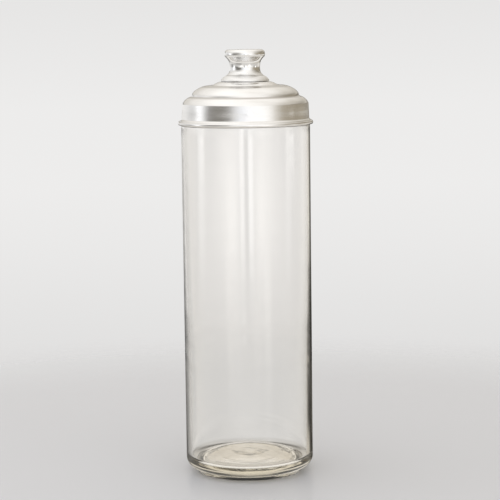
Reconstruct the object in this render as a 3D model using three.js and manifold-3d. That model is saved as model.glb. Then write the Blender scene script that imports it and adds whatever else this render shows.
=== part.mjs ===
// A tall cylindrical glass jar with a spun aluminium lid and a turned aluminium knob.
// Millimetres, +Z up. The origin is the centre of the foot ring, on the surface the jar stands on.
//
// Every piece is a solid of revolution about Z, or is cut from one. A profile is a list of
// [radius, height] points that runs up the outside of its piece and down the inside.

import * as THREE from 'three';
import { mergeVertices } from 'three/addons/utils/BufferGeometryUtils.js';
import Module from 'manifold-3d';

const wasm = await Module();
wasm.setup();

// ---- Driving dimensions -------------------------------------------------------------------

const FACETS = 48; // around every large turned piece
const SMALL_FACETS = 24; // around the screw and its washers
const GAP = 0.3; // between pieces that touch

const jar = {
  radius: 47.5,
  footRadius: 39.4,
  footLand: [37.0, 38.7], // the flat ring that it stands on
  footHeight: 2.0,
  puntHeight: 7.6, // how far the underside is pushed up in the middle
  heelRadius: 8.0,
  heelHeight: 11.0, // of the heel's centre
  floorHeight: 10.3, // at its lowest, in the groove beside the wall
  floorCrown: 7.5, // how far the push-up stands above the groove
  floorFillet: 4.0,
  baseBore: 43.8, // inside radius just above the floor, where the wall is thick
  bore: 45.6, // inside radius below the shoulder, where the wall is thin
  thickWallTop: 84.0, // the wall thins from here up to the next height
  thinWallBottom: 104.0,
  shoulderHeight: 262.4,
  shoulderRadius: 1.5, // of the outside corner, and of the fillet into the neck
  neckRadius: 43.7,
  mouthBore: 40.6,
  rimHeight: 273.2,
};

const lid = {
  sheet: 0.6,
  holeRadius: 2.8,
  padRadius: 17.0, // flat pad under the knob
  padHeight: 291.0, // its outside face
  bossRadius: 24.2,
  bossCrease: 287.6,
  domeRadius: 39.5,
  domeCrease: 280.0,
  skirtTop: [46.3, 274.8], // the skirt leans out a little towards its flare
  skirtRadius: 46.7,
  flareTop: 263.5, // where the skirt steps out to clear the glass shoulder
  flareBottom: 262.2,
  hemRadius: 48.1,
  curlRadius: 0.7, // of the middle of the sheet, rolled outwards and up
  curlHeights: [260.4, 261.3], // centres of the lower and the upper turn
};

const seal = {
  innerRadius: 41.0,
  outerRadius: 45.7,
  legThickness: 1.2,
  lipDepth: 0.5,
  lipHeights: [270.2, 267.6, 265.0],
  bottom: 264.0,
  flange: 1.0,
};

const knob = {
  footRadius: 17.85,
  creaseRadius: 13.6, // where the rounded foot meets the stem
  creaseHeight: 295.3,
  waistRadius: 11.15,
  waistHeight: 302.0,
  headRadius: 14.95,
  top: 314.4,
  holeRadius: 2.7,
  holeDepth: 12.0,
};

const screw = {
  shankRadius: 2.4,
  headRadius: 4.8,
  headHeight: 3.0,
  engagement: 10.0, // thread inside the knob
  recess: { width: 1.2, reach: 4.6, depth: 1.8 },
};

const lockWasher = { innerRadius: 2.7, outerRadius: 4.6, thickness: 1.2, slot: 1.0 };
const backingWasher = { innerRadius: 2.7, outerRadius: 8.0, thickness: 1.0 };

// ---- Curves in the profile plane ----------------------------------------------------------

// Points along a circle's arc, from one angle to another in degrees, both ends included.
function arc(centre, radius, from, to, steps) {
  const points = [];
  for (let i = 0; i <= steps; i++) {
    const angle = THREE.MathUtils.degToRad(from + ((to - from) * i) / steps);
    points.push([centre[0] + radius * Math.cos(angle), centre[1] + radius * Math.sin(angle)]);
  }
  return points;
}

// Points along a smooth curve that passes through the given ones.
function smooth(through, steps) {
  const curve = new THREE.SplineCurve(through.map(([r, z]) => new THREE.Vector2(r, z)));
  return curve.getPoints(steps).map((p) => [p.x, p.y]);
}

// The line moved sideways to its left by a distance, with mitred corners.
function offset(line, distance) {
  const points = line.map(([r, z]) => new THREE.Vector2(r, z));
  const last = points.length - 1;
  return points.map((p, i) => {
    const before = p.clone().sub(points[Math.max(i - 1, 0)]).normalize();
    const after = points[Math.min(i + 1, last)].clone().sub(p).normalize();
    const into = i === 0 ? after : before;
    const outOf = i === last ? before : after;
    const along = into.clone().add(outOf).normalize();
    const reach = distance / along.dot(outOf);
    return [p.x - along.y * reach, p.y + along.x * reach];
  });
}

// The closed outline of a sheet of even thickness about a middle line that runs outwards.
function sheetOutline(middle, thickness) {
  const inside = offset(middle, -thickness / 2);
  const outside = offset(middle, thickness / 2);
  return [...inside, ...outside.reverse()];
}

// ---- Solids -------------------------------------------------------------------------------

// A solid of revolution about Z. A profile that doesn't reach the axis closes on itself.
function turned(profile, facets = FACETS) {
  const points = profile.map(([r, z]) => new THREE.Vector2(r, z));
  if (points[0].x > 0) points.push(points[0].clone());
  return new THREE.LatheGeometry(points, facets).rotateX(Math.PI / 2);
}

function toManifold(geometry) {
  const bare = geometry.clone();
  bare.deleteAttribute('normal');
  bare.deleteAttribute('uv');
  const welded = mergeVertices(bare, 1e-4);
  const corners = Array.from(welded.index.array);
  const kept = [];
  for (let i = 0; i < corners.length; i += 3) {
    const [a, b, c] = corners.slice(i, i + 3);
    if (a !== b && b !== c && c !== a) kept.push(a, b, c);
  }
  const vertProperties = new Float32Array(welded.attributes.position.array);
  const triVerts = new Uint32Array(kept);
  return new wasm.Manifold(new wasm.Mesh({ numProp: 3, vertProperties, triVerts }));
}

function fromManifold(solid) {
  const { vertProperties, triVerts } = solid.getMesh();
  const geometry = new THREE.BufferGeometry();
  geometry.setAttribute('position', new THREE.BufferAttribute(vertProperties, 3));
  geometry.setIndex(new THREE.BufferAttribute(triVerts, 1));
  geometry.computeVertexNormals();
  return geometry;
}

// A box about Z that reaches from one height to another.
function upright(width, length, low, high) {
  const box = new THREE.BoxGeometry(width, length, high - low);
  return toManifold(box.translate(0, 0, (low + high) / 2));
}

// ---- The pieces ---------------------------------------------------------------------------

function glassJar() {
  const heelCentre = [jar.radius - jar.heelRadius, jar.heelHeight];
  const [landInner, landOuter] = jar.footLand;
  const lipRadius = (jar.neckRadius - jar.mouthBore) / 2;
  const rimCentre = [jar.mouthBore + lipRadius, jar.rimHeight - lipRadius];
  const corner = jar.shoulderRadius;
  const cornerCentre = [jar.radius - corner, jar.shoulderHeight - corner];
  const neckFilletCentre = [jar.neckRadius + corner, jar.shoulderHeight + corner];
  const floorCentre = [jar.baseBore - jar.floorFillet, jar.floorHeight + jar.floorFillet];
  const underside = smooth(
    [
      [0, jar.puntHeight],
      [14, jar.puntHeight - 0.7],
      [24, jar.puntHeight - 2.5],
      [31, jar.puntHeight - 4.9],
      [landInner - 2.2, 1.0],
    ],
    7,
  );
  const floor = smooth(
    [
      [floorCentre[0], jar.floorHeight],
      [36, jar.floorHeight + 0.8],
      [30, jar.floorHeight + 3.0],
      [22, jar.floorHeight + 5.3],
      [12, jar.floorHeight + 6.9],
      [0, jar.floorHeight + jar.floorCrown],
    ],
    9,
  );
  return turned([
    ...underside,
    // foot ring
    [landInner, 0],
    [landOuter, 0],
    [jar.footRadius, 0.8],
    [jar.footRadius, jar.footHeight],
    // outside: heel, wall, shoulder, neck
    ...arc(heelCentre, jar.heelRadius, -78, 0, 6),
    ...arc(cornerCentre, corner, 0, 90, 3),
    ...arc(neckFilletCentre, corner, 270, 180, 3),
    ...arc(rimCentre, lipRadius, 0, 180, 6),
    // inside: mouth, shoulder, wall that thickens towards the base, floor
    [jar.mouthBore, jar.shoulderHeight + 3.2],
    [jar.mouthBore + 0.7, jar.shoulderHeight + 0.9],
    [jar.mouthBore + 2.1, jar.shoulderHeight - 0.5],
    [jar.bore - 1.4, jar.shoulderHeight - 1.5],
    [jar.bore - 0.35, jar.shoulderHeight - 2.6],
    [jar.bore, jar.shoulderHeight - 3.8],
    [jar.bore - 0.5, 140],
    [jar.bore - 0.9, jar.thinWallBottom],
    [jar.baseBore, jar.thickWallTop],
    ...arc(floorCentre, jar.floorFillet, 0, -90, 4),
    ...floor.slice(1),
  ]);
}

// The middle of the lid's sheet, from the knob's hole outwards to the end of the rolled hem.
function lidMiddle() {
  const padMiddle = lid.padHeight - lid.sheet / 2;
  const curlRadius = lid.hemRadius + lid.curlRadius;
  const [curlLow, curlHigh] = lid.curlHeights;
  const boss = smooth(
    [
      [lid.padRadius, padMiddle],
      [19.6, 290.2],
      [22.3, 289.0],
      [lid.bossRadius, lid.bossCrease],
    ],
    4,
  );
  const dome = smooth(
    [
      [lid.bossRadius, lid.bossCrease],
      [27.4, 288.0],
      [32.2, 286.9],
      [36.4, 284.7],
      [38.9, 282.2],
      [lid.domeRadius, lid.domeCrease],
    ],
    8,
  );
  const shoulder = smooth(
    [
      [lid.domeRadius, lid.domeCrease],
      [42.5, 278.9],
      [44.9, 276.9],
      lid.skirtTop,
    ],
    5,
  );
  return [
    [lid.holeRadius, padMiddle],
    ...boss,
    ...dome.slice(1),
    ...shoulder.slice(1),
    [lid.skirtRadius, lid.flareTop],
    [lid.hemRadius - 0.3, lid.flareBottom + 0.5],
    [lid.hemRadius, lid.flareBottom],
    ...arc([curlRadius, curlLow], lid.curlRadius, 180, 360, 6),
    ...arc([curlRadius, curlHigh], lid.curlRadius, 0, 90, 3),
  ];
}

function lidShell() {
  return turned(sheetOutline(lidMiddle(), lid.sheet));
}

// An L-shaped ring: a flange that lies on the glass rim, and a leg with lips around the neck.
function lidSeal() {
  const under = jar.rimHeight + GAP;
  const legInner = seal.outerRadius - seal.legThickness;
  const lips = seal.lipHeights.flatMap((height) => [
    [legInner, height + 0.7],
    [legInner - seal.lipDepth, height + 0.1],
    [legInner - seal.lipDepth, height - 0.2],
    [legInner, height - 0.5],
  ]);
  return turned([
    [seal.innerRadius, under],
    [legInner - seal.lipDepth, under],
    [legInner, under - 0.6],
    ...lips,
    [legInner, seal.bottom],
    [seal.outerRadius, seal.bottom],
    [seal.outerRadius, under + 0.4],
    [seal.outerRadius - 0.6, under + seal.flange],
    [seal.innerRadius, under + seal.flange],
  ]);
}

function knobBody() {
  const bottom = lid.padHeight + GAP;
  const holeTop = bottom + knob.holeDepth;
  const side = smooth(
    [
      [knob.creaseRadius - 0.3, knob.creaseHeight + 0.3],
      [knob.waistRadius + 0.8, knob.waistHeight - 4.8],
      [knob.waistRadius + 0.1, knob.waistHeight - 2.6],
      [knob.waistRadius, knob.waistHeight],
      [knob.waistRadius + 0.3, knob.waistHeight + 2.6],
      [knob.waistRadius + 1.1, knob.waistHeight + 4.5],
      [13.6, 308.2],
      [14.6, 309.2],
      [knob.headRadius, 310.8],
      [14.5, 312.8],
      [13.4, 313.8],
      [12.0, knob.top - 0.15],
    ],
    22,
  );
  return turned([
    [0, holeTop],
    [knob.holeRadius, holeTop],
    [knob.holeRadius, bottom],
    [knob.footRadius - 0.3, bottom],
    [knob.footRadius, bottom + 0.3],
    [knob.footRadius - 0.1, bottom + 0.8],
    [17.0, 293.1],
    [15.6, 294.4],
    [knob.creaseRadius, knob.creaseHeight],
    ...side,
    [0, knob.top],
  ]);
}

// The stack under the lid, from the sheet downwards: each piece's upper face.
const backingTop = lid.padHeight - lid.sheet - GAP;
const lockTop = backingTop - backingWasher.thickness - GAP;
const headTop = lockTop - lockWasher.thickness - GAP;

function knobScrew() {
  const low = headTop - screw.headHeight;
  const tip = lid.padHeight + GAP + screw.engagement;
  const body = turned(
    [
      [0, low],
      [screw.headRadius * 0.62, low + 0.25],
      [screw.headRadius * 0.9, low + 1.1],
      [screw.headRadius, low + 2.2],
      [screw.headRadius, headTop],
      [screw.shankRadius, headTop],
      [screw.shankRadius, tip - 0.6],
      [screw.shankRadius - 0.6, tip],
      [0, tip],
    ],
    SMALL_FACETS,
  );
  const { width, reach, depth } = screw.recess;
  const slot = upright(width, reach, low - 1, low + depth);
  const cross = slot.add(slot.rotate([0, 0, 90]));
  return fromManifold(toManifold(body).subtract(cross));
}

function flatRing({ innerRadius, outerRadius, thickness }, top) {
  return turned(
    [
      [innerRadius, top - thickness],
      [outerRadius, top - thickness],
      [outerRadius, top],
      [innerRadius, top],
    ],
    SMALL_FACETS,
  );
}

// A spring washer is a ring with one slot across it.
function splitRing(size, top) {
  const slot = upright(size.slot, size.outerRadius * 2, top - size.thickness - 1, top + 1);
  const ring = toManifold(flatRing(size, top));
  return fromManifold(ring.subtract(slot.translate(0, size.outerRadius, 0)));
}

// ---- Materials and assembly ---------------------------------------------------------------

const glass = { color: 0xeef1ec, roughness: 0.05, metalness: 0, transparent: true, opacity: 0.35 };
const satinAluminium = { color: 0xd9d8d3, roughness: 0.36, metalness: 0.95 };
const polishedAluminium = { color: 0xd6d6d4, roughness: 0.16, metalness: 1 };
const clearRubber = { color: 0xe3e3dc, roughness: 0.55, metalness: 0 };
const zincedSteel = { color: 0xb9bcbd, roughness: 0.32, metalness: 0.95 };

function piece(name, geometry, look) {
  const mesh = new THREE.Mesh(geometry, new THREE.MeshStandardMaterial(look));
  mesh.name = name;
  return mesh;
}

const lidGroup = new THREE.Group();
lidGroup.add(
  piece('lid_shell', lidShell(), satinAluminium),
  piece('lid_seal', lidSeal(), clearRubber),
  piece('knob', knobBody(), polishedAluminium),
  piece('knob_screw', knobScrew(), zincedSteel),
  piece('lock_washer', splitRing(lockWasher, lockTop), zincedSteel),
  piece('backing_washer', flatRing(backingWasher, backingTop), zincedSteel),
);

const specimenJar = new THREE.Group();
specimenJar.add(piece('glass_jar', glassJar(), glass), lidGroup);

export default specimenJar;
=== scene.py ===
"""A tall glass jar with a spun aluminium lid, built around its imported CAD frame.

Metres, +Z up, the jar's axis on Z and its foot on the floor. Every piece is turned about Z, so a
piece is drawn as a profile: a list of (radius, height) points in millimetres that runs up its
outside and down its inside. The sizes that matter come from the frame.
"""

import math

import bmesh
import bpy
from mathutils import Euler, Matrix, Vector


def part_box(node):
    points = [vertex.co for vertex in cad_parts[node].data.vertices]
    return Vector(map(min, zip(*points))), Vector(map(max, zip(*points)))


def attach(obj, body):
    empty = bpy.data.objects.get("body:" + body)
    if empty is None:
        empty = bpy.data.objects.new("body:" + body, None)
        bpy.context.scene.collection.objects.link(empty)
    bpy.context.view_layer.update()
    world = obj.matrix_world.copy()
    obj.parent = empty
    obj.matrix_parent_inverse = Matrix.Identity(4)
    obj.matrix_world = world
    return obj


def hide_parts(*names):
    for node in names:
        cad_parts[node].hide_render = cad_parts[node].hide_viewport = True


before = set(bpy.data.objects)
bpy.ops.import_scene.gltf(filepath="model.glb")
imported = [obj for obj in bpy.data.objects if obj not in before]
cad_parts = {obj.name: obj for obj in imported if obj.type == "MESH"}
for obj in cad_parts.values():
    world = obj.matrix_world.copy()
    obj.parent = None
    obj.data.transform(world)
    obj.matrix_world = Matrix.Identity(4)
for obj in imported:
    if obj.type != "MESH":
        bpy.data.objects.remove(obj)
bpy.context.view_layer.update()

MM = 0.001
TURN_STEPS = 192  # around a large piece
SMALL_STEPS = 96  # around the screw and its washers


# ---- Camera -------------------------------------------------------------------------------

CAMERA_PLACE = (0.0021, -1.295, 0.330)
CAMERA_PITCH = 7.22  # degrees below level
CAMERA_ROLL = -0.73
CAMERA_LENS = 126.4
SENSOR = 36.0


def make_camera():
    data = bpy.data.cameras.new("camera")
    data.sensor_width = SENSOR
    data.lens = CAMERA_LENS
    data.clip_start = 0.05
    data.clip_end = 30.0
    camera = bpy.data.objects.new("camera", data)
    tilt = Euler((math.radians(90 - CAMERA_PITCH), 0, 0)).to_matrix()
    roll = Euler((0, 0, math.radians(CAMERA_ROLL))).to_matrix()
    camera.location = CAMERA_PLACE
    camera.rotation_euler = (tilt @ roll).to_euler()
    bpy.context.scene.collection.objects.link(camera)
    bpy.context.scene.camera = camera


make_camera()


# ---- Curves in the profile plane, in millimetres ------------------------------------------

def arc(centre, radius, start, end, steps=12):
    """Points along a circle's arc, from one angle to another in degrees, both ends included."""
    angles = [math.radians(start + (end - start) * i / steps) for i in range(steps + 1)]
    return [(centre[0] + radius * math.cos(a), centre[1] + radius * math.sin(a)) for a in angles]


def smooth(through, steps=10):
    """Points along a Catmull-Rom spline through the given ones, with that many steps in each span."""
    padded = [through[0], *through, through[-1]]
    line = [through[0]]
    for before, start, end, after in zip(padded, padded[1:], padded[2:], padded[3:]):
        for i in range(1, steps + 1):
            t = i / steps
            line.append(tuple(
                0.5 * (2 * b + (c - a) * t + (2 * a - 5 * b + 4 * c - d) * t * t
                       + (3 * b - a - 3 * c + d) * t ** 3)
                for a, b, c, d in zip(before, start, end, after)
            ))
    return line


def evenly(line, spacing):
    """The line with points a fixed distance apart, and its two ends kept."""
    even = [line[0]]
    left = spacing
    for (r0, z0), (r1, z1) in zip(line, line[1:]):
        length = math.hypot(r1 - r0, z1 - z0)
        done = 0.0
        while length - done >= left:
            done += left
            even.append((r0 + (r1 - r0) * done / length, z0 + (z1 - z0) * done / length))
            left = spacing
        left -= length - done
    return even + [line[-1]]


def softened(line, radius):
    """The line with its corners eased to about that radius, and its two ends kept."""
    spacing = radius / 4
    points = evenly(line, spacing)
    for _ in range(12):
        inner = [
            ((r0 + 2 * r + r1) / 4, (z0 + 2 * z + z1) / 4)
            for (r0, z0), (r, z), (r1, z1) in zip(points, points[1:], points[2:])
        ]
        points = [points[0], *inner, points[-1]]
    return points


def thinned(line, turn=4.0, gap=6.0):
    """The line without the points that it hardly bends at: it keeps one for each few degrees."""
    kept = [line[0]]
    turned_by = 0.0
    for before, here, after in zip(line, line[1:], line[2:]):
        into = math.atan2(here[1] - before[1], here[0] - before[0])
        out_of = math.atan2(after[1] - here[1], after[0] - here[0])
        turned_by += abs((out_of - into + math.pi) % (2 * math.pi) - math.pi)
        if turned_by >= math.radians(turn) or math.dist(here, kept[-1]) >= gap:
            kept.append(here)
            turned_by = 0.0
    return kept + [line[-1]]


def offset(line, distance):
    """The line moved sideways to its left, with mitred corners."""
    moved = []
    for i, (r, z) in enumerate(line):
        into = Vector(line[max(i, 1)]) - Vector(line[max(i, 1) - 1])
        out_of = Vector(line[min(i + 1, len(line) - 1)]) - Vector(line[min(i + 1, len(line) - 1) - 1])
        along = (into.normalized() + out_of.normalized()).normalized()
        reach = distance / along.dot(out_of.normalized())
        moved.append((r - along.y * reach, z + along.x * reach))
    return moved


# ---- Meshes -------------------------------------------------------------------------------

def turned(name, profile, steps=TURN_STEPS, wave=None, sharp=50.0):
    """An object turned about Z. A profile that doesn't start on the axis closes on itself.
    wave(angle, radius, height) moves a point in or out by millimetres."""
    built = bmesh.new()
    rings = []
    for radius, height in profile:
        if radius < 1e-6:
            rings.append([built.verts.new((0, 0, height * MM))])
            continue
        ring = []
        for i in range(steps):
            angle = 2 * math.pi * i / steps
            r = radius + (wave(angle, radius, height) if wave else 0.0)
            ring.append(built.verts.new((r * MM * math.cos(angle), r * MM * math.sin(angle), height * MM)))
        rings.append(ring)
    if len(rings[0]) > 1:
        rings.append(rings[0])
    for lower, upper in zip(rings, rings[1:]):
        for i in range(steps):
            j = (i + 1) % steps
            below = [lower[i % len(lower)], lower[j % len(lower)]]
            above = [upper[j % len(upper)], upper[i % len(upper)]]
            face = list(dict.fromkeys(below + above))
            if len(face) > 2:
                built.faces.new(face)
    return finished(name, built, sharp)


def finished(name, built, sharp):
    """The object of a bmesh, shaded smooth but for edges sharper than that many degrees."""
    mesh = bpy.data.meshes.new(name)
    bmesh.ops.recalc_face_normals(built, faces=built.faces)
    built.to_mesh(mesh)
    built.free()
    mesh.shade_smooth()
    mesh.set_sharp_from_angle(angle=math.radians(sharp))
    piece = bpy.data.objects.new(name, mesh)
    bpy.context.scene.collection.objects.link(piece)
    return piece


def place(piece, material, body, node):
    piece.data.materials.append(material)
    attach(piece, body)
    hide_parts(node)


# ---- Shader graphs ------------------------------------------------------------------------

class Graph:
    """A node tree, built one node at a time."""

    def __init__(self, tree):
        self.tree = tree
        tree.nodes.clear()

    def node(self, kind, inputs=None, **settings):
        made = self.tree.nodes.new(kind)
        for key, value in settings.items():
            setattr(made, key, value)
        for key, value in (inputs or {}).items():
            if isinstance(value, bpy.types.NodeSocket):
                self.tree.links.new(value, made.inputs[key])
            else:
                made.inputs[key].default_value = value
        return made

    def maths(self, operation, *values):
        return self.node("ShaderNodeMath", dict(enumerate(values)), operation=operation).outputs[0]

    def remap(self, value, low, high, new_low, new_high):
        inputs = {"Value": value, "From Min": low, "From Max": high, "To Min": new_low, "To Max": new_high}
        return self.node("ShaderNodeMapRange", inputs, interpolation_type="SMOOTHSTEP").outputs[0]

    def mix(self, share, first, second, blend="MIX"):
        made = self.node("ShaderNodeMix", data_type="RGBA", blend_type=blend)
        for socket, value in zip((0, 6, 7), (share, first, second)):
            if isinstance(value, bpy.types.NodeSocket):
                self.tree.links.new(value, made.inputs[socket])
            else:
                made.inputs[socket].default_value = value
        return made.outputs[2]

    def noise(self, vector, scale, detail=2.0, roughness=0.5):
        inputs = {"Vector": vector, "Scale": scale, "Detail": detail, "Roughness": roughness}
        return self.node("ShaderNodeTexNoise", inputs).outputs["Fac"]

    def ramp(self, value, stops):
        """A straight colour ramp from a list of (position, colour) pairs."""
        made = self.node("ShaderNodeValToRGB", {"Fac": value})
        elements = made.color_ramp.elements
        elements.remove(elements[1])
        elements[0].position, elements[0].color = stops[0]
        for position, colour in stops[1:]:
            elements.new(position).color = colour
        return made.outputs["Color"]

    def bump(self, height, distance, strength=1.0):
        inputs = {"Height": height, "Distance": distance, "Strength": strength}
        return self.node("ShaderNodeBump", inputs).outputs["Normal"]

    def turning(self):
        """The radius, height and angle about Z of the point being shaded, as sockets."""
        place_now = self.node("ShaderNodeTexCoord").outputs["Object"]
        x, y, z = self.node("ShaderNodeSeparateXYZ", {0: place_now}).outputs
        squared = self.maths("ADD", self.maths("MULTIPLY", x, x), self.maths("MULTIPLY", y, y))
        return self.maths("SQRT", squared), z, self.maths("ARCTAN2", y, x)

    def vector(self, x, y, z):
        return self.node("ShaderNodeCombineXYZ", {0: x, 1: y, 2: z}).outputs[0]


def new_material(name):
    material = bpy.data.materials.new(name)
    material.use_nodes = True
    return material, Graph(material.node_tree)


def surface(graph, **inputs):
    """A Principled shader on the material's output. An input's name has _ for its spaces."""
    named = {key.replace("_", " "): value for key, value in inputs.items()}
    shader = graph.node("ShaderNodeBsdfPrincipled", named)
    output = graph.node("ShaderNodeOutputMaterial", {"Surface": shader.outputs[0]})
    return shader, output


def grey(value, warmth=0.0):
    return (value * (1 + warmth), value, value * (1 - warmth), 1.0)


def cream(value, warmth):
    """A grey with less blue in it and more red."""
    return (value * (1 + 0.8 * warmth), value, value * (1 - 1.4 * warmth), 1.0)


# ---- Materials ----------------------------------------------------------------------------

def glass_material():
    """Clear soda glass, with the faint ripple of a moulded wall."""
    material, graph = new_material("clear_glass")
    radius, height, angle = graph.turning()
    around = graph.maths("MULTIPLY", angle, 0.05)
    upwards = graph.maths("MULTIPLY", height, 0.12)  # less, so that the ripple is drawn out up the wall
    ripple = graph.noise(graph.vector(around, radius, upwards), 60.0, 1.0)
    _, output = surface(
        graph,
        Base_Color=grey(0.99, 0.006),
        Roughness=0.0,
        IOR=1.5,
        Transmission_Weight=1.0,
        Normal=graph.bump(ripple, 0.0003, 0.2),
    )
    absorbs = graph.node("ShaderNodeVolumeAbsorption", {"Color": (0.80, 0.75, 0.62, 1.0), "Density": 18.0})
    graph.tree.links.new(absorbs.outputs[0], output.inputs["Volume"])
    return material


BOSS_CREASE = (24.2, 287.6)  # the two creases of the lid's top, as points of its profile
DOME_CREASE = (39.5, 280.0)
HEM_BOTTOM = 259.4  # the lowest height of its rolled hem


def spun_material():
    """Satin aluminium, spun on a lathe: fine rings, a faint haze, and painted shade darkening its two
    creases and the bottom of its hem.
    """
    material, graph = new_material("spun_aluminium")
    radius, height, angle = graph.turning()
    around = graph.vector(radius, graph.maths("MULTIPLY", angle, 0.0004), height)
    rings = graph.noise(around, 5200.0, 2.0, 0.6)
    wide_rings = graph.noise(around, 900.0, 2.0)
    haze = graph.noise(graph.node("ShaderNodeTexCoord").outputs["Object"], 45.0, 3.0)
    colour = graph.mix(graph.remap(haze, 0.35, 0.7, 0.0, 1.0), grey(0.84, 0.008), grey(0.79, 0.015))
    # painted shade: the colour darkens towards the two creases and the hem's lowest edge, where shade falls
    for painted_shade_height in (BOSS_CREASE[1], DOME_CREASE[1], HEM_BOTTOM):
        away = graph.maths("ABSOLUTE", graph.maths("SUBTRACT", height, painted_shade_height * MM))
        colour = graph.mix(graph.remap(away, 0.0002, 0.0011, 0.75, 0.0), colour, grey(0.52, 0.05))
    fine_rough = graph.remap(rings, 0.3, 0.7, 0.17, 0.23)
    wide_rough = graph.remap(wide_rings, 0.3, 0.7, -0.02, 0.03)
    relief = graph.maths("ADD", rings, graph.maths("MULTIPLY", wide_rings, 0.8))
    surface(
        graph,
        Base_Color=colour,
        Metallic=1.0,
        Roughness=graph.maths("ADD", fine_rough, wide_rough),
        Anisotropic=0.35,
        Anisotropic_Rotation=0.25,
        Normal=graph.bump(relief, 0.00002, 0.6),
    )
    return material


KNOB_CREASE = (13.5, 295.4)  # where its rounded foot meets the stem
KNOB_SATIN = KNOB_CREASE[1]  # the knob's foot is left satin up to here
KNOB_POLISH = 298.5  # and is polished from here upwards


def polished_material():
    """Aluminium turned and polished, with very faint tool rings, a satin foot and painted shade darkening
    its crease.
    """
    material, graph = new_material("polished_aluminium")
    radius, height, angle = graph.turning()
    around = graph.vector(radius, graph.maths("MULTIPLY", angle, 0.0006), height)
    rings = graph.noise(around, 4000.0, 2.0, 0.6)
    smears = graph.noise(graph.node("ShaderNodeTexCoord").outputs["Object"], 160.0, 3.0)
    satin_foot = graph.remap(height, KNOB_SATIN * MM, KNOB_POLISH * MM, 0.26, 0.0)
    # painted shade: the colour darkens towards the crease where the foot meets the stem
    away = graph.maths("ABSOLUTE", graph.maths("SUBTRACT", height, KNOB_CREASE[1] * MM))
    bright = graph.mix(smears, grey(0.86), grey(0.8, 0.01))
    surface(
        graph,
        Base_Color=graph.mix(graph.remap(away, 0.0001, 0.0007, 0.7, 0.0), bright, grey(0.5, 0.03)),
        Metallic=1.0,
        Roughness=graph.maths("ADD", graph.remap(smears, 0.3, 0.75, 0.08, 0.15), satin_foot),
        Normal=graph.bump(rings, 0.00001, 0.5),
    )
    return material


def seal_material():
    """Translucent silicone rubber with a faint moulded grain."""
    material, graph = new_material("seal_rubber")
    place_now = graph.node("ShaderNodeTexCoord").outputs["Object"]
    grain = graph.noise(place_now, 2500.0, 3.0)
    cloud = graph.noise(place_now, 90.0, 2.0)
    surface(
        graph,
        Base_Color=graph.mix(cloud, grey(0.82, 0.01), grey(0.74, 0.02)),
        Roughness=graph.remap(grain, 0.3, 0.7, 0.42, 0.58),
        Subsurface_Weight=0.35,
        Subsurface_Radius=(0.004, 0.004, 0.0035),
        Normal=graph.bump(grain, 0.00003, 0.5),
    )
    return material


def zinc_material():
    """Bright zinc on steel, with its blue to straw bloom."""
    material, graph = new_material("zinced_steel")
    place_now = graph.node("ShaderNodeTexCoord").outputs["Object"]
    bloom = graph.noise(place_now, 380.0, 3.0)
    speckle = graph.noise(place_now, 3000.0, 2.0)
    surface(
        graph,
        Base_Color=graph.mix(bloom, (0.60, 0.64, 0.70, 1.0), (0.74, 0.71, 0.62, 1.0)),
        Metallic=1.0,
        Roughness=graph.remap(speckle, 0.3, 0.7, 0.24, 0.4),
        Normal=graph.bump(speckle, 0.00001, 0.4),
    )
    return material


# ---- The glass ----------------------------------------------------------------------------

_, jar_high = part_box("glass_jar")
JAR_RADIUS = jar_high.x / MM
RIM = jar_high.z / MM

FOOT_RADIUS = 39.4
HEEL = 8.0  # radius of the rounded heel
HEEL_HEIGHT = 11.0  # of its centre
PUNT = 7.6  # how far the underside is pushed up in the middle
BASE_TOP = 10.3  # the inside at its lowest, in the groove beside the wall
BASE_FILLET = 4.0  # radius between that groove and the wall
BASE_BORE = 43.8
BORE = 45.6
SHOULDER = 262.4
CORNER = 1.5  # radius of the shoulder's corner and of the fillet above it
MOULD_RINGS = [(13.0, 0.05), (22.0, 0.08), (29.5, 0.12)]  # radius and depth of the mould's marks
MOULD_WIDTH = 0.55
THICKENING = 86.0  # the height that the lower wall grows thick around
THICKENING_REACH = 14.0  # how far above and below it the wall is most uneven
NECK_RADIUS = 43.7
MOUTH_BORE = 40.6


def inner_wave(angle, radius, height):
    """The slow ripple of the inside wall, strongest where the lower wall grows thick."""
    if radius > BORE + 0.3 or height < BASE_TOP + 8 or height > SHOULDER - 8:
        return 0.0
    near_step = math.exp(-((height - THICKENING) / THICKENING_REACH) ** 2)
    ripple = math.sin(0.33 * height + 2.0 * math.sin(2 * angle + 0.6)) * math.cos(3 * angle + 0.05 * height)
    return (0.012 + 0.035 * near_step) * ripple


def mould_mark(radius):
    """How far the mould's rings press into the underside."""
    return sum(depth * math.exp(-((radius - ring) / MOULD_WIDTH) ** 2) for ring, depth in MOULD_RINGS)


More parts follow.
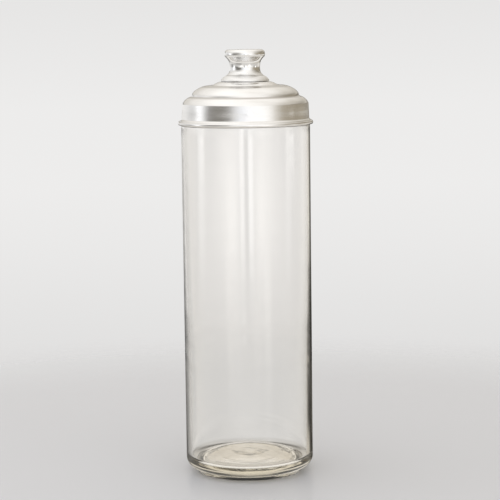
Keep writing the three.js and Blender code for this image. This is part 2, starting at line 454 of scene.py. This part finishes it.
def glass_jar():
    rim_radius = (NECK_RADIUS - MOUTH_BORE) / 2
    rim_centre = (MOUTH_BORE + rim_radius, RIM - rim_radius)
    punt = smooth([(0.0, PUNT), (14.0, PUNT - 0.7), (24.0, PUNT - 2.5), (31.0, PUNT - 4.9), (34.8, 1.0)], 12)
    underside = [(r, z + mould_mark(r)) for r, z in punt]
    foot = [
        *arc((37.3, 0.7), 0.7, 215, 270, 4),
        *arc((38.3, 0.7), 0.7, 270, 350, 5),
        (FOOT_RADIUS - 0.1, 1.8),
    ]
    foot_to_heel = arc((FOOT_RADIUS + 1.4, 1.9), 1.3, 175, 100, 5)
    heel = arc((JAR_RADIUS - HEEL, HEEL_HEIGHT), HEEL, -76, 0, 16)
    outer_wall = [(JAR_RADIUS, z) for z in range(20, 260, 10)]
    shoulder = [
        *arc((JAR_RADIUS - CORNER, SHOULDER - CORNER), CORNER, 0, 90, 8),
        *arc((NECK_RADIUS + CORNER, SHOULDER + CORNER), CORNER, 270, 180, 8),
    ]
    rim = arc(rim_centre, rim_radius, 0, 180, 16)
    neck_inside = smooth([
        (MOUTH_BORE, SHOULDER + 6.0),
        (MOUTH_BORE, SHOULDER + 3.2),
        (MOUTH_BORE + 0.7, SHOULDER + 0.9),
        (MOUTH_BORE + 2.1, SHOULDER - 0.5),
        (BORE - 1.4, SHOULDER - 1.5),
        (BORE - 0.35, SHOULDER - 2.6),
        (BORE, SHOULDER - 4.2),
        (BORE, SHOULDER - 8.0),
    ], 5)
    inner_wall = evenly(smooth([
        (BORE, 250.0),
        (BORE - 0.4, 160.0),
        (BORE - 0.75, 120.0),
        (BORE - 1.25, 96.0),
        (BASE_BORE + 0.15, 72.0),
        (BASE_BORE, 40.0),
    ], 12), 2.5)
    groove = arc((BASE_BORE - BASE_FILLET, BASE_TOP + BASE_FILLET), BASE_FILLET, 0, -86, 12)
    push_up = smooth([
        (BASE_BORE - BASE_FILLET, BASE_TOP),
        (36.0, BASE_TOP + 0.8),
        (30.0, BASE_TOP + 3.0),
        (22.0, BASE_TOP + 5.3),
        (12.0, BASE_TOP + 6.9),
        (0.0, BASE_TOP + 7.5),
    ], 6)
    profile = [*underside, *foot, *foot_to_heel, *heel, *outer_wall, *shoulder, *rim]
    profile += [*neck_inside, *inner_wall, *groove, *push_up]
    return turned("glass_body", profile, 256, inner_wave)


# ---- The lid ------------------------------------------------------------------------------

lid_low, lid_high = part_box("lid_shell")
SHEET = 0.6
PAD_MIDDLE = lid_high.z / MM - SHEET / 2
SKIRT_TOP = (46.3, 274.8)
SKIRT_RADIUS = 46.7
FLARE = (263.5, 262.2)  # the heights that the skirt steps out between, to clear the glass
HEM_RADIUS = 48.1
CURL_RADIUS = 0.7
CURL_LOW = lid_low.z / MM + CURL_RADIUS + SHEET / 2
CURL_HIGH = CURL_LOW + 0.9  # the hem's side is straight between these two


def lid_middle():
    """The middle of the sheet, from the knob's hole outwards to the end of the rolled hem."""
    pad = [(2.8, PAD_MIDDLE), (17.0, PAD_MIDDLE)]
    boss = smooth([pad[-1], (19.6, 290.2), (22.3, 289.0), BOSS_CREASE])
    dome = smooth([BOSS_CREASE, (27.4, 288.0), (32.2, 286.9), (36.4, 284.7), (38.9, 282.2), DOME_CREASE])
    shoulder = smooth([DOME_CREASE, (42.5, 278.9), (44.9, 276.9), SKIRT_TOP])
    flare_top, flare_bottom = FLARE
    flare = [(SKIRT_RADIUS, flare_top), (HEM_RADIUS - 0.3, flare_bottom + 0.5), (HEM_RADIUS, flare_bottom)]
    curl_middle = HEM_RADIUS + CURL_RADIUS
    curl_under = arc((curl_middle, CURL_LOW), CURL_RADIUS, 180, 360, 24)
    curl_over = arc((curl_middle, CURL_HIGH), CURL_RADIUS, 0, 90, 12)
    return pad + boss[1:] + dome[1:] + shoulder[1:] + flare + curl_under + curl_over


def lid_shell():
    middle = softened(lid_middle(), 0.5)
    inside = thinned(offset(middle, -SHEET / 2))
    outside = thinned(offset(middle, SHEET / 2))
    return turned("lid_spinning", inside + outside[::-1])


# ---- The knob -----------------------------------------------------------------------------

knob_low, knob_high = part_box("knob")
KNOB_FOOT = knob_high.x / MM
KNOB_BOTTOM = knob_low.z / MM - 0.22  # lower than in the frame, so that it sits on the lid
KNOB_TOP = knob_high.z / MM
KNOB_HOLE = 2.7
KNOB_HOLE_DEPTH = 11.98


def knob():
    foot = softened([
        (KNOB_FOOT - 1.5, KNOB_BOTTOM),
        (KNOB_FOOT - 0.05, KNOB_BOTTOM),
        (KNOB_FOOT - 0.05, KNOB_BOTTOM + 0.78),
        (17.0, 293.0),
        (15.6, 294.3),
        KNOB_CREASE,
    ], 0.3)
    side = smooth([
        KNOB_CREASE,
        (11.95, 297.2),
        (11.25, 299.4),
        (11.15, 302.0),
        (11.45, 304.6),
        (12.25, 306.5),
        (13.6, 308.2),
        (14.6, 309.2),
        (14.95, 310.8),
        (14.5, 312.8),
        (13.4, 313.8),
        (12.0, KNOB_TOP - 0.15),
        (8.0, KNOB_TOP - 0.03),
    ])
    hole_top = KNOB_BOTTOM + KNOB_HOLE_DEPTH
    hole = [(0.0, hole_top), (KNOB_HOLE, hole_top - 0.8), (KNOB_HOLE, KNOB_BOTTOM)]
    return turned("knob_turning", hole + thinned(foot, 3) + thinned(side, 3)[1:] + [(0.0, KNOB_TOP)])


# ---- The seal and the fastening -----------------------------------------------------------

seal_low, seal_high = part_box("lid_seal")
backing_low, backing_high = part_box("backing_washer")
lock_low, lock_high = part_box("lock_washer")
screw_low, screw_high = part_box("knob_screw")
SEAL_BORE = 41.0
SEAL_LEG = 1.2  # thickness of the leg that goes down round the neck
LIP_HEIGHTS = (270.2, 267.6, 265.0)
LIP_DEPTH = 0.5  # how far the leg's three lips stand in
WASHER_HOLE = 2.7
SCREW_SHANK = 2.4
SCREW_HEAD = 3.0  # its height
SCREW_ROUNDING = 1.6  # of the head's edge


def lid_seal():
    top, bottom, outer = seal_high.z / MM, seal_low.z / MM, seal_high.x / MM
    under = top - 1.0
    leg = outer - SEAL_LEG
    lips = []
    for height in LIP_HEIGHTS:
        lips += [(leg, height + 0.8), (leg - LIP_DEPTH, height), (leg, height - 0.6)]
    profile = [
        (SEAL_BORE, under),
        (leg - LIP_DEPTH, under),
        (leg, under - 0.6),
        *lips,
        (leg, bottom),
        (outer, bottom),
        (outer, under + 0.4),
        (outer - 0.6, top),
        (SEAL_BORE, top),
        (SEAL_BORE, under),
    ]
    return turned("seal_ring", thinned(softened(profile, 0.16), 12)[:-1])


def backing_washer():
    inner, outer = WASHER_HOLE, backing_high.x / MM
    low, high = backing_low.z / MM, backing_high.z / MM
    edge = 0.15
    profile = [
        (inner, high - edge), (inner, low + edge), (inner + edge, low), (outer - edge, low),
        (outer, low + edge), (outer, high - edge), (outer - edge, high), (inner + edge, high),
    ]
    return turned("backing_disc", profile, SMALL_STEPS)


def lock_washer():
    """A ring of square wire with a slot across it and its ends sprung a little apart."""
    inner, outer = WASHER_HOLE, lock_high.x / MM
    low, high = lock_low.z / MM, lock_high.z / MM
    spring = 0.12  # how far the two ends stand apart
    edge = 0.12
    half_gap = math.asin(0.5 / outer)  # of a slot 1 mm wide
    squeeze = 1 - spring / (high - low)
    middle = (low + high) / 2
    section = [
        (inner + edge, low), (outer - edge, low), (outer, low + edge), (outer, high - edge),
        (outer - edge, high), (inner + edge, high), (inner, high - edge), (inner, low + edge),
    ]
    built = bmesh.new()
    rings = []
    for i in range(SMALL_STEPS + 1):
        share = i / SMALL_STEPS
        angle = math.pi / 2 + half_gap + share * (2 * math.pi - 2 * half_gap)
        rise = spring * (share - 0.5)
        rings.append([
            built.verts.new((
                r * MM * math.cos(angle),
                r * MM * math.sin(angle),
                (middle + (z - middle) * squeeze + rise) * MM,
            ))
            for r, z in section
        ])
    count = len(section)
    for here, after in zip(rings, rings[1:]):
        for j in range(count):
            k = (j + 1) % count
            built.faces.new([here[j], after[j], after[k], here[k]])
    built.faces.new(rings[0])
    built.faces.new(rings[-1][::-1])
    return finished("spring_ring", built, 30.0)


def knob_screw():
    """A pan head with a cross recess, cut by a solid of the driver's shape."""
    low, top, head = screw_low.z / MM, screw_high.z / MM, screw_high.x / MM
    seat = low + SCREW_HEAD
    head_side = arc((head - SCREW_ROUNDING, low + 2.0), SCREW_ROUNDING, -62, 0, 8)
    crown = smooth([(0.0, low), (1.6, low + 0.08), (2.8, low + 0.34), head_side[0]], 6)
    shank = [(SCREW_SHANK, seat), (SCREW_SHANK, top - 0.6), (SCREW_SHANK - 0.6, top), (0.0, top)]
    profile = crown[:-1] + head_side + [(head, seat - 0.2), (head - 0.2, seat)] + shank
    screw = turned("pan_screw", profile, SMALL_STEPS, sharp=35.0)
    cutter = recess_cutter(low)
    cut = screw.modifiers.new("recess", "BOOLEAN")
    cut.object = cutter
    cut.operation = "DIFFERENCE"
    cut.solver = "EXACT"
    depsgraph = bpy.context.evaluated_depsgraph_get()
    mesh = bpy.data.meshes.new_from_object(screw.evaluated_get(depsgraph))
    screw.modifiers.clear()
    screw.data = mesh
    screw.data.name = "pan_screw"
    screw.data.shade_smooth()
    screw.data.set_sharp_from_angle(angle=math.radians(35))
    bpy.data.objects.remove(cutter)
    return screw


def recess_cutter(low):
    """A cross that narrows as it goes in."""
    mouth, tip, width, depth = 2.3, 1.1, 0.6, 1.9
    built = bmesh.new()
    rings = []
    for reach, half, z in ((mouth, width, low - 0.5), (tip, width * 0.6, low + depth)):
        ring = []
        for quarter in range(4):
            turn = math.pi / 2 * quarter
            for x, y in ((half, -half), (reach, -half), (reach, half)):
                ring.append(built.verts.new((
                    (x * math.cos(turn) - y * math.sin(turn)) * MM,
                    (x * math.sin(turn) + y * math.cos(turn)) * MM,
                    z * MM,
                )))
        rings.append(ring)
    count = len(rings[0])
    for j in range(count):
        k = (j + 1) % count
        built.faces.new([rings[0][j], rings[0][k], rings[1][k], rings[1][j]])
    built.faces.new(rings[0][::-1])
    built.faces.new(rings[1])
    return finished("recess_cutter", built, 30.0)


# ---- Pieces on their bodies ---------------------------------------------------------------

spun = spun_material()
polished = polished_material()
zinc = zinc_material()

place(glass_jar(), glass_material(), "jar", "glass_jar")
place(lid_seal(), seal_material(), "seal", "lid_seal")
place(lid_shell(), spun, "lid", "lid_shell")
place(knob(), polished, "lid", "knob")
place(knob_screw(), zinc, "lid", "knob_screw")
place(lock_washer(), zinc, "lid", "lock_washer")
place(backing_washer(), zinc, "lid", "backing_washer")


# ---- Floor and light ----------------------------------------------------------------------

FLOOR_SOLID = 0.30  # the floor fades into the background between these two radii
FLOOR_END = 0.60
FLOOR_DROP = 0.0002  # it lies this far under the foot
SHADE_FRONT, SHADE_BACK = 0.015, 0.040  # behind the axis; the shade grows between the two
# The ends of its two ramps of painted light, which the floor shows only through the glass, by radius in
# tenths of a metre.
LIT_UNDER_JAR = [(0.0, cream(0.52, 0.07)), (0.34, cream(0.48, 0.07))]
LIT_OUTSIDE = (0.9, cream(0.68, 0.0))


def make_floor():
    """A pale floor. Seen through the glass it glows with painted light in place of the light that the glass
    lets down on it, with a painted ring of shade at the foot, wider and darker at the back. Reflections look
    past it at the room."""
    built = bmesh.new()
    bmesh.ops.create_circle(built, cap_ends=True, segments=96, radius=FLOOR_END * 1.05)
    floor = finished("floor", built, 30.0)
    material, graph = new_material("floor")
    radius, _, angle = graph.turning()
    path = graph.node("ShaderNodeLightPath").outputs
    shader, output = surface(
        graph,
        Base_Color=(0.640, 0.650, 0.690, 1.0),
        Roughness=0.32,
        Specular_IOR_Level=0.4,
    )
    tenths = graph.maths("MULTIPLY", radius, 10.0)
    front = graph.ramp(tenths, [
        *LIT_UNDER_JAR, (0.37, cream(0.22, 0.10)), (0.395, cream(0.22, 0.10)), (0.41, cream(0.46, 0.05)),
        LIT_OUTSIDE,
    ])
    back = graph.ramp(tenths, [
        *LIT_UNDER_JAR, (0.37, cream(0.10, 0.12)), (0.52, cream(0.06, 0.10)), (0.58, cream(0.58, 0.02)),
        LIT_OUTSIDE,
    ])
    backwards = graph.maths("MULTIPLY", radius, graph.maths("SINE", angle))
    share = graph.remap(backwards, SHADE_FRONT, SHADE_BACK, 0.0, 1.0)
    # painted light and painted shade: through the glass the floor is an emission and is not lit by the room
    lit = graph.node("ShaderNodeEmission", {"Color": graph.mix(share, front, back)})
    away = graph.node("ShaderNodeBsdfTransparent")
    reflected = graph.maths("GREATER_THAN", path["Glossy Depth"], 0.5)
    through_glass = graph.maths("GREATER_THAN", path["Transmission Depth"], 0.5)
    faded = graph.maths("MAXIMUM", reflected, graph.remap(radius, FLOOR_SOLID, FLOOR_END, 0.0, 1.0))
    seen = graph.node("ShaderNodeMixShader", {0: through_glass, 1: shader.outputs[0], 2: lit.outputs[0]})
    mixed = graph.node("ShaderNodeMixShader", {0: faded, 1: seen.outputs[0], 2: away.outputs[0]})
    graph.tree.links.new(mixed.outputs[0], output.inputs["Surface"])
    floor.data.materials.append(material)
    floor.location.z = -FLOOR_DROP


# The room that the pieces reflect, in rings from the lowest direction to the highest. A ring is
# the upward part of its direction, then (compass bearing, brightness, warmth) round the room: the
# bearing in degrees from the camera, positive to the camera's right.
LEVEL = [
    (-180, 0.85, 0.01), (-165, 1.00, 0.01), (-137, 0.95, 0.01), (-113, 0.82, 0.00), (-103, 0.95, 0.00),
    (-97, 1.35, -0.01), (-90, 1.35, -0.01), (-81, 0.95, 0.00), (-70, 0.32, 0.03), (-56, 0.20, 0.08),
    (-42, 0.20, 0.08), (-31, 0.28, 0.04), (-20, 0.75, 0.00), (-9, 1.08, -0.03), (2, 1.25, -0.02),
    (35, 1.25, 0.01), (46, 1.08, 0.03), (58, 0.68, 0.07), (71, 0.42, 0.15), (85, 0.34, 0.18),
    (101, 0.32, 0.18), (120, 0.32, 0.18), (148, 0.26, 0.14), (165, 0.40, 0.10), (180, 0.85, 0.01),
]
ROOM = [
    (-0.50, [(-180, 0.95, 0.04), (180, 0.95, 0.04)]),
    (-0.30, [
        (-180, 0.25, 0.06), (-164, 0.32, 0.04), (-150, 0.32, 0.03), (-134, 0.60, 0.03), (-100, 0.70, 0.03),
        (-80, 0.65, 0.03), (-66, 0.35, 0.05), (-34, 0.32, 0.05), (-14, 0.70, 0.03), (40, 0.75, 0.03),
        (70, 0.60, 0.08), (130, 0.60, 0.10), (150, 0.55, 0.10), (158, 0.10, 0.10), (172, 0.10, 0.10),
        (180, 0.25, 0.06),
    ]),
    (-0.22, [
        (-180, 0.14, 0.04), (-165, 0.24, 0.03), (-156, 0.24, 0.03), (-149, 0.38, 0.03), (-140, 0.62, 0.03),
        (-126, 0.90, 0.03), (-90, 0.70, 0.03), (-64, 0.50, 0.03), (-34, 0.50, 0.03), (-18, 0.80, 0.03),
        (26, 0.80, 0.03), (36, 1.10, 0.03), (46, 0.74, 0.03), (110, 0.66, 0.06), (130, 0.66, 0.08),
        (138, 0.38, 0.08), (145, 0.04, 0.10), (163, 0.03, 0.10), (172, 0.26, 0.08), (177, 0.08, 0.06),
        (180, 0.14, 0.04),
    ]),
    (-0.17, [
        (-180, 0.25, 0.04), (-174, 0.28, 0.02), (-158, 0.32, 0.02), (-150, 0.70, 0.02), (-130, 0.90, 0.02),
        (-110, 0.40, 0.03), (-90, 0.60, 0.03), (-60, 0.60, 0.03), (-30, 0.75, 0.03), (-24, 1.10, 0.03),
        (-15, 1.10, 0.03), (-8, 0.70, 0.03), (26, 0.80, 0.03), (34, 1.60, 0.03), (40, 1.60, 0.03),
        (46, 0.70, 0.03), (110, 0.65, 0.05), (135, 0.80, 0.06), (145, 0.52, 0.06), (152, 0.05, 0.10),
        (174, 0.03, 0.10), (180, 0.25, 0.04),
    ]),
    (-0.11, [
        (-180, 0.40, 0.03), (-172, 0.50, 0.02), (-158, 0.50, 0.02), (-150, 0.85, 0.02), (-120, 0.50, 0.02),
        (-100, 0.30, 0.02), (-92, 1.20, 0.00), (-84, 1.10, 0.00), (-76, 0.60, 0.03), (-40, 0.95, 0.03),
        (-30, 1.70, 0.02), (-20, 1.60, 0.02), (-8, 1.10, 0.03), (-1, 0.40, 0.03), (3, 0.60, 0.03),
        (5, 2.50, 0.00), (10, 2.50, 0.00), (14, 0.80, 0.03), (24, 1.60, 0.03), (40, 1.60, 0.03),
        (56, 1.00, 0.03), (75, 0.60, 0.04), (100, 0.65, 0.05), (125, 0.90, 0.06), (150, 0.80, 0.06),
        (158, 0.14, 0.10), (172, 0.12, 0.10), (180, 0.40, 0.03),
    ]),
    (-0.05, [
        (-180, 0.60, 0.02), (-165, 0.75, 0.02), (-135, 0.85, 0.02), (-115, 0.40, 0.02), (-97, 0.30, 0.02),
        (-93, 1.80, 0.00), (-86, 1.80, 0.00), (-80, 0.20, 0.03), (-56, 0.25, 0.03), (-36, 1.20, 0.03),
        (-18, 0.95, 0.03), (-7, 1.40, 0.02), (-1, 0.20, 0.03), (3, 0.50, 0.03), (5, 2.40, 0.00),
        (10, 2.40, 0.00), (15, 1.00, 0.03), (58, 1.05, 0.03), (68, 0.55, 0.04), (85, 0.60, 0.05),
        (88, 2.10, 0.02), (93, 2.10, 0.02), (98, 0.45, 0.06), (120, 0.85, 0.06), (150, 0.75, 0.06),
        (158, 0.22, 0.10), (172, 0.22, 0.10), (180, 0.60, 0.02),
    ]),
    (-0.015, LEVEL),
    (0.06, LEVEL),
    (0.12, [(-180, 0.06, 0.10), (-150, 0.10, 0.06), *LEVEL[2:-3], (150, 0.10, 0.10), (180, 0.06, 0.10)]),
    (0.17, [(-180, 0.72, 0.08), (-150, 0.72, 0.05), *LEVEL[2:-3], (150, 0.60, 0.10), (180, 0.72, 0.08)]),
    (0.28, [
        (-180, 0.70, 0.06), (-150, 0.72, 0.05), (-120, 0.84, 0.03), (-80, 0.86, 0.03), (-62, 0.55, 0.03),
        (-40, 0.55, 0.03), (-18, 1.05, 0.02), (0, 1.25, 0.02), (40, 1.12, 0.02), (65, 0.62, 0.07),
        (100, 0.30, 0.13), (130, 0.28, 0.13), (155, 0.52, 0.10), (168, 0.62, 0.08), (180, 0.70, 0.06),
    ]),
    (0.60, [
        (-180, 0.95, 0.04), (-120, 1.00, 0.03), (-60, 1.15, 0.02), (0, 1.25, 0.02), (50, 1.00, 0.04),
        (90, 0.62, 0.08), (130, 0.62, 0.09), (165, 0.88, 0.06), (180, 0.95, 0.04),
    ]),
    (0.92, [(-180, 1.22, 0.03), (0, 1.24, 0.02), (90, 1.02, 0.04), (180, 1.22, 0.03)]),
]
BRIGHTEST = 3.0  # of any of them
# What the camera sees behind the jar, by the same upward part.
BACKDROP = [
    (-0.270, 0.660), (-0.235, 0.679), (-0.203, 0.723), (-0.158, 0.776), (-0.123, 0.815), (-0.089, 0.842),
    (-0.044, 0.840), (0.013, 0.791),
]


def room_ring(graph, bearing, stops):
    """A ring of greys round the room. A ramp's colours stop at 1, so they are scaled after it."""
    colours = [((degrees + 180) / 360, cream(value / BRIGHTEST, warmth)) for degrees, value, warmth in stops]
    return graph.mix(1.0, graph.ramp(bearing, colours), grey(BRIGHTEST), "MULTIPLY")


def make_world():
    """A plain pale studio as the camera sees it, directly or straight through the glass. What
    reflects, and what lights the pieces, is a room with windows and darker walls."""
    world = bpy.data.worlds.new("studio")
    bpy.context.scene.world = world
    world.use_nodes = True
    graph = Graph(world.node_tree)
    direction = graph.node("ShaderNodeTexCoord").outputs["Generated"]
    x, y, z = graph.node("ShaderNodeSeparateXYZ", {0: direction}).outputs
    angle = graph.maths("ARCTAN2", x, graph.maths("MULTIPLY", y, -1.0))
    bearing = graph.maths("ADD", graph.maths("DIVIDE", angle, 2 * math.pi), 0.5)
    room = room_ring(graph, bearing, ROOM[0][1])
    for (low, _), (high, stops) in zip(ROOM, ROOM[1:]):
        room = graph.mix(graph.remap(z, low, high, 0.0, 1.0), room, room_ring(graph, bearing, stops))
    low, high = BACKDROP[0][0], BACKDROP[-1][0]
    height = graph.maths("DIVIDE", graph.maths("SUBTRACT", z, low), high - low)
    plain = graph.ramp(height, [((up - low) / (high - low), grey(value, 0.008)) for up, value in BACKDROP])
    path = graph.node("ShaderNodeLightPath").outputs
    bounces = graph.maths("ADD", path["Glossy Depth"], path["Diffuse Depth"])
    straight = graph.maths("MULTIPLY", path["Is Transmission Ray"], graph.maths("LESS_THAN", bounces, 0.5))
    seen = graph.maths("MAXIMUM", path["Is Camera Ray"], straight)
    background = graph.node("ShaderNodeBackground", {"Color": graph.mix(seen, room, plain)})
    graph.node("ShaderNodeOutputWorld", {"Surface": background.outputs[0]})


make_floor()
make_world()
bpy.context.scene.view_settings.view_transform = "Standard"
